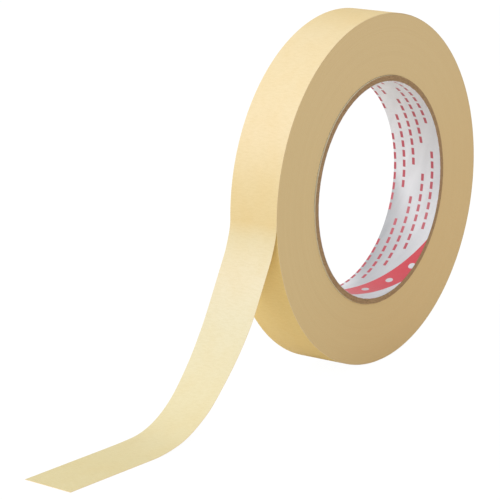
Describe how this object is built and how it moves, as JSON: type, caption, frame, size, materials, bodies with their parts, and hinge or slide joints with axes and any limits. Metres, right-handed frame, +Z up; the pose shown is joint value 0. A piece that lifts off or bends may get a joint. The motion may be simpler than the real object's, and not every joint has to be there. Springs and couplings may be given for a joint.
{
  "type": "masking tape roll",
  "caption": "Roll of cream crepe masking tape on a paperboard core, standing on its edge with a loose tail lying on the table.",
  "frame": {"origin": "on the table, under the middle of the overall box, with the roll standing behind it and the tail lying in front", "axes": "+X along the roll's core, +Y from the tail's end towards the roll, +Z up"},
  "size_m": [0.0198, 0.2298, 0.1233],
  "materials": {
    "liner_paper": "smooth white paper printed in red",
    "core_board": "raw brown core board",
    "tape_side": "matt slit edges of many turns",
    "tape_face": "finely creped, faint satin"
  },
  "bodies": {
    "roll": {"core_liner": "liner_paper", "core_ply_1": "core_board", "core_ply_2": "core_board", "core_ply_3": "core_board", "core_ply_4": "core_board", "wound_tape": "tape_side", "last_turn": "tape_face"},
    "peel_link_1": {"peel_link_1": "tape_face"},
    "peel_link_2": {"peel_link_2": "tape_face"},
    "peel_link_3": {"peel_link_3": "tape_face"},
    "peel_link_4": {"peel_link_4": "tape_face"},
    "peel_link_5": {"peel_link_5": "tape_face"},
    "peel_link_6": {"peel_link_6": "tape_face"},
    "tail_link_1": {"tail_link_1": "tape_face"},
    "tail_link_2": {"tail_link_2": "tape_face"},
    "tail_link_3": {"tail_link_3": "tape_face"},
    "tail_link_4": {"tail_link_4": "tape_face"},
    "tail_link_5": {"tail_link_5": "tape_face"},
    "tail_link_6": {"tail_link_6": "tape_face"},
    "tail_link_7": {"tail_link_7": "tape_face"},
    "tail_link_8": {"tail_link_8": "tape_face"},
    "tail_link_9": {"tail_link_9": "tape_face"},
    "tail_link_10": {"tail_link_10": "tape_face"},
    "tail_link_11": {"tail_link_11": "tape_face"},
    "tail_link_12": {"tail_link_12": "tape_face"}
  },
  "joints": [
    {"name": "peel", "type": "hinge", "parent": "roll", "child": "peel_link_1", "pos_m": [0, 0.05127, 0.12328], "axis": [-1, 0, 0], "range_deg": [0, 10]},
    {"name": "peel_2", "type": "hinge", "parent": "peel_link_1", "child": "peel_link_2", "pos_m": [0, 0.03569, 0.12077], "axis": [-1, 0, 0], "range_deg": [0, 10]},
    {"name": "peel_3", "type": "hinge", "parent": "peel_link_2", "child": "peel_link_3", "pos_m": [0, 0.02126, 0.11439], "axis": [-1, 0, 0], "range_deg": [0, 10]},
    {"name": "peel_4", "type": "hinge", "parent": "peel_link_3", "child": "peel_link_4", "pos_m": [0, 0.00892, 0.10455], "axis": [-1, 0, 0], "range_deg": [0, 10]},
    {"name": "peel_5", "type": "hinge", "parent": "peel_link_4", "child": "peel_link_5", "pos_m": [0, -0.00053, 0.09191], "axis": [-1, 0, 0], "range_deg": [0, 10]},
    {"name": "peel_6", "type": "hinge", "parent": "peel_link_5", "child": "peel_link_6", "pos_m": [0, -0.00646, 0.07728], "axis": [-1, 0, 0], "range_deg": [0, 10]},
    {"name": "tail_pull", "type": "hinge", "parent": "peel_link_6", "child": "tail_link_1", "pos_m": [0, -0.00849, 0.06163], "axis": [-1, 0, 0], "range_deg": [0, 56]},
    {"name": "tail_bend_2", "type": "hinge", "parent": "tail_link_1", "child": "tail_link_2", "pos_m": [0, -0.01107, 0.0504], "axis": [-1, 0, 0], "range_deg": [-15.12, 0]},
    {"name": "tail_bend_3", "type": "hinge", "parent": "tail_link_2", "child": "tail_link_3", "pos_m": [0, -0.01673, 0.04026], "axis": [-1, 0, 0], "range_deg": [-1.12, 0]},
    {"name": "tail_bend_4", "type": "hinge", "parent": "tail_link_3", "child": "tail_link_4", "pos_m": [0, -0.02248, 0.03017], "axis": [-1, 0, 0], "range_deg": [-5.04, 0]},
    {"name": "tail_bend_5", "type": "hinge", "parent": "tail_link_4", "child": "tail_link_5", "pos_m": [0, -0.02915, 0.02066], "axis": [-1, 0, 0], "range_deg": [-6.72, 0]},
    {"name": "tail_bend_6", "type": "hinge", "parent": "tail_link_5", "child": "tail_link_6", "pos_m": [0, -0.03695, 0.01207], "axis": [-1, 0, 0], "range_deg": [-9.52, 0]},
    {"name": "tail_bend_7", "type": "hinge", "parent": "tail_link_6", "child": "tail_link_7", "pos_m": [0, -0.04609, 0.00496], "axis": [-1, 0, 0], "range_deg": [-16.8, 0]},
    {"name": "tail_bend_8", "type": "hinge", "parent": "tail_link_7", "child": "tail_link_8", "pos_m": [0, -0.05692, 0.00088], "axis": [-1, 0, 0], "range_deg": [-16.24, 0]},
    {"name": "tip_lift", "type": "hinge", "parent": "tail_link_8", "child": "tail_link_9", "pos_m": [0, -0.06848, 0.00007], "axis": [-1, 0, 0], "range_deg": [0, 20]},
    {"name": "tip_bend_10", "type": "hinge", "parent": "tail_link_9", "child": "tail_link_10", "pos_m": [0, -0.0801, 0.00007], "axis": [-1, 0, 0], "range_deg": [0, 20]},
    {"name": "tip_bend_11", "type": "hinge", "parent": "tail_link_10", "child": "tail_link_11", "pos_m": [0, -0.09172, 0.00007], "axis": [-1, 0, 0], "range_deg": [0, 20]},
    {"name": "tip_bend_12", "type": "hinge", "parent": "tail_link_11", "child": "tail_link_12", "pos_m": [0, -0.10333, 0.00007], "axis": [-1, 0, 0], "range_deg": [0, 20]}
  ],
  "couplings": [
    {"joint": "peel_2", "follows": "peel", "ratio": 1},
    {"joint": "peel_3", "follows": "peel", "ratio": 1},
    {"joint": "peel_4", "follows": "peel", "ratio": 1},
    {"joint": "peel_5", "follows": "peel", "ratio": 1},
    {"joint": "peel_6", "follows": "peel", "ratio": 1},
    {"joint": "tail_bend_2", "follows": "tail_pull", "ratio": -0.27},
    {"joint": "tail_bend_3", "follows": "tail_pull", "ratio": -0.02},
    {"joint": "tail_bend_4", "follows": "tail_pull", "ratio": -0.09},
    {"joint": "tail_bend_5", "follows": "tail_pull", "ratio": -0.12},
    {"joint": "tail_bend_6", "follows": "tail_pull", "ratio": -0.17},
    {"joint": "tail_bend_7", "follows": "tail_pull", "ratio": -0.3},
    {"joint": "tail_bend_8", "follows": "tail_pull", "ratio": -0.29},
    {"joint": "tip_bend_10", "follows": "tip_lift", "ratio": 1},
    {"joint": "tip_bend_11", "follows": "tip_lift", "ratio": 1},
    {"joint": "tip_bend_12", "follows": "tip_lift", "ratio": 1}
  ]
}
